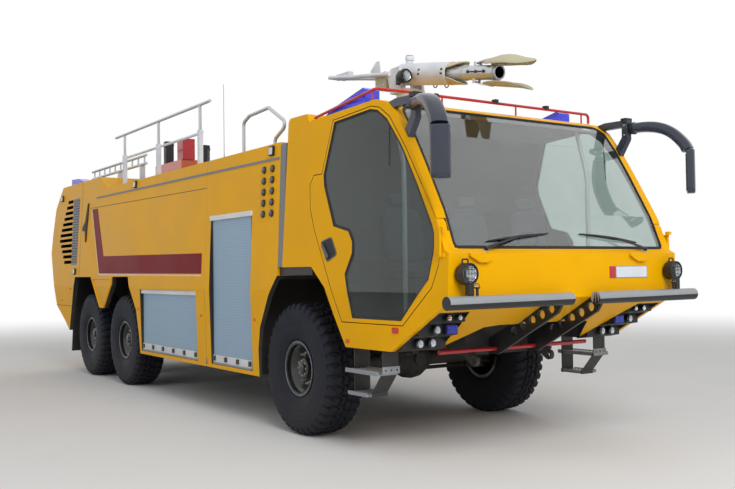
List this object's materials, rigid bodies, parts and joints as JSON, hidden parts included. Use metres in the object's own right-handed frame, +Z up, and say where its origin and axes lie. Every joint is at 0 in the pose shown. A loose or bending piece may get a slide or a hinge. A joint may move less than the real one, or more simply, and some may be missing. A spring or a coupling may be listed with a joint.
{
  "type": "airport fire truck",
  "caption": "Three-axle airport fire truck: forward cab with large windscreen and doors, water tank body with roll-up lockers, louvred engine cover, roof monitor and handrails.",
  "frame": {"origin": "on the ground under the middle of the truck's length and width", "axes": "+X forward, +Y to the left, +Z up"},
  "size_m": [11.716, 3.315, 4.1036],
  "materials": {
    "yellow_paint": "gloss enamel",
    "underframe": "satin chassis paint",
    "tyre_rubber": "matt rubber",
    "rim_paint": "satin",
    "shutter_aluminium": "anodised slats",
    "grey_plastic": "matt",
    "black_plastic": "matt",
    "cabin_trim": "matt",
    "clear_glass": "clear",
    "grey_paint": "satin",
    "step_aluminium": "brushed",
    "blue_lens": "clear lens",
    "red_paint": "gloss enamel",
    "rail_steel": "brushed",
    "white_paint": "gloss enamel",
    "cream_plastic": "matt"
  },
  "bodies": {
    "truck": {"chassis_frame": "underframe", "driveline": "underframe", "suspension": "underframe", "front_axle": "underframe", "rear_axles": "underframe", "engine_block": "underframe", "front_body": "yellow_paint", "rear_body": "yellow_paint", "engine_cover": "yellow_paint", "shutters": "shutter_aluminium", "side_fittings": "grey_plastic", "mudguards": "black_plastic", "cab_shell": "yellow_paint", "cab_interior": "cabin_trim", "windscreen": "clear_glass", "bumper": "grey_paint", "front_lamps": "black_plastic", "cab_steps": "step_aluminium", "mirrors": "black_plastic", "wipers": "black_plastic", "beacons": "blue_lens", "spray_pipes": "red_paint", "roof_ladder": "step_aluminium", "roof_equipment": "red_paint", "grab_rails": "rail_steel", "handrail_posts": "rail_steel", "monitor_base": "white_paint"},
    "knuckle_left": {"knuckle_left": "underframe"},
    "knuckle_right": {"knuckle_right": "underframe"},
    "tie_rod": {"tie_rod": "underframe"},
    "door_left": {"door_left": "yellow_paint", "door_glass_left": "clear_glass"},
    "door_right": {"door_right": "yellow_paint", "door_glass_right": "clear_glass"},
    "handrail_left": {"handrail_left": "rail_steel"},
    "handrail_right": {"handrail_right": "rail_steel"},
    "monitor_turret": {"monitor_turret": "white_paint"},
    "monitor_barrel": {"monitor_barrel": "white_paint"},
    "deflector_upper": {"deflector_upper": "cream_plastic"},
    "deflector_lower": {"deflector_lower": "cream_plastic"},
    "wheel_front_left": {"tyre_front_left": "tyre_rubber", "rim_front_left": "rim_paint"},
    "wheel_front_right": {"tyre_front_right": "tyre_rubber", "rim_front_right": "rim_paint"},
    "wheel_middle_left": {"tyre_middle_left": "tyre_rubber", "rim_middle_left": "rim_paint"},
    "wheel_middle_right": {"tyre_middle_right": "tyre_rubber", "rim_middle_right": "rim_paint"},
    "wheel_rear_left": {"tyre_rear_left": "tyre_rubber", "rim_rear_left": "rim_paint"},
    "wheel_rear_right": {"tyre_rear_right": "tyre_rubber", "rim_rear_right": "rim_paint"}
  },
  "joints": [
    {"name": "steer_left", "type": "hinge", "parent": "truck", "child": "knuckle_left", "pos_m": [3.243, 0.985, 0.672], "axis": [0, 0, 1], "range_deg": [-30, 30]},
    {"name": "steer_right", "type": "hinge", "parent": "truck", "child": "knuckle_right", "pos_m": [3.243, -0.985, 0.672], "axis": [0, 0, 1], "range_deg": [-30, 30]},
    {"name": "tie_rod_pivot", "type": "hinge", "parent": "knuckle_left", "child": "tie_rod", "pos_m": [2.983, 0.985, 0.532], "axis": [0, 0, 1], "range_deg": [-30, 30]},
    {"name": "wheel_front_left_spin", "type": "hinge", "parent": "knuckle_left", "child": "wheel_front_left", "pos_m": [3.243, 1.22, 0.672], "axis": [0, 1, 0], "continuous": true},
    {"name": "wheel_front_right_spin", "type": "hinge", "parent": "knuckle_right", "child": "wheel_front_right", "pos_m": [3.243, -1.22, 0.672], "axis": [0, 1, 0], "continuous": true},
    {"name": "wheel_middle_left_spin", "type": "hinge", "parent": "truck", "child": "wheel_middle_left", "pos_m": [-2, 1.22, 0.672], "axis": [0, 1, 0], "continuous": true},
    {"name": "wheel_middle_right_spin", "type": "hinge", "parent": "truck", "child": "wheel_middle_right", "pos_m": [-2, -1.22, 0.672], "axis": [0, 1, 0], "continuous": true},
    {"name": "wheel_rear_left_spin", "type": "hinge", "parent": "truck", "child": "wheel_rear_left", "pos_m": [-3.65, 1.22, 0.672], "axis": [0, 1, 0], "continuous": true},
    {"name": "wheel_rear_right_spin", "type": "hinge", "parent": "truck", "child": "wheel_rear_right", "pos_m": [-3.65, -1.22, 0.672], "axis": [0, 1, 0], "continuous": true},
    {"name": "door_left_hinge", "type": "hinge", "parent": "truck", "child": "door_left", "pos_m": [5.605, 1.43, 1.88], "axis": [0, 0, -1], "range_deg": [0, 75]},
    {"name": "door_right_hinge", "type": "hinge", "parent": "truck", "child": "door_right", "pos_m": [5.605, -1.43, 1.88], "axis": [0, 0, 1], "range_deg": [0, 75]},
    {"name": "handrail_left_slide", "type": "slide", "parent": "truck", "child": "handrail_left", "axis": [0, 0, 1], "range_m": [-0.29, 0]},
    {"name": "handrail_right_slide", "type": "slide", "parent": "truck", "child": "handrail_right", "axis": [0, 0, 1], "range_m": [-0.29, 0]},
    {"name": "monitor_yaw", "type": "hinge", "parent": "truck", "child": "monitor_turret", "pos_m": [3.293, 0, 3.57], "axis": [0, 0, 1], "range_deg": [-90, 90]},
    {"name": "monitor_elevation", "type": "hinge", "parent": "monitor_turret", "child": "monitor_barrel", "pos_m": [3.293, 0, 3.835], "axis": [0, -1, 0], "range_deg": [0, 80]},
    {"name": "deflector_upper_hinge", "type": "hinge", "parent": "monitor_barrel", "child": "deflector_upper", "pos_m": [4.4809, 0, 3.719], "axis": [0, 1, 0], "range_deg": [0, 8]},
    {"name": "deflector_lower_hinge", "type": "hinge", "parent": "monitor_barrel", "child": "deflector_lower", "pos_m": [4.4489, 0, 3.5378], "axis": [0, 1, 0], "range_deg": [-8, 0]}
  ],
  "couplings": [
    {"joint": "steer_right", "follows": "steer_left", "ratio": 1},
    {"joint": "tie_rod_pivot", "follows": "steer_left", "ratio": -1},
    {"joint": "deflector_lower_hinge", "follows": "deflector_upper_hinge", "ratio": -1}
  ]
}
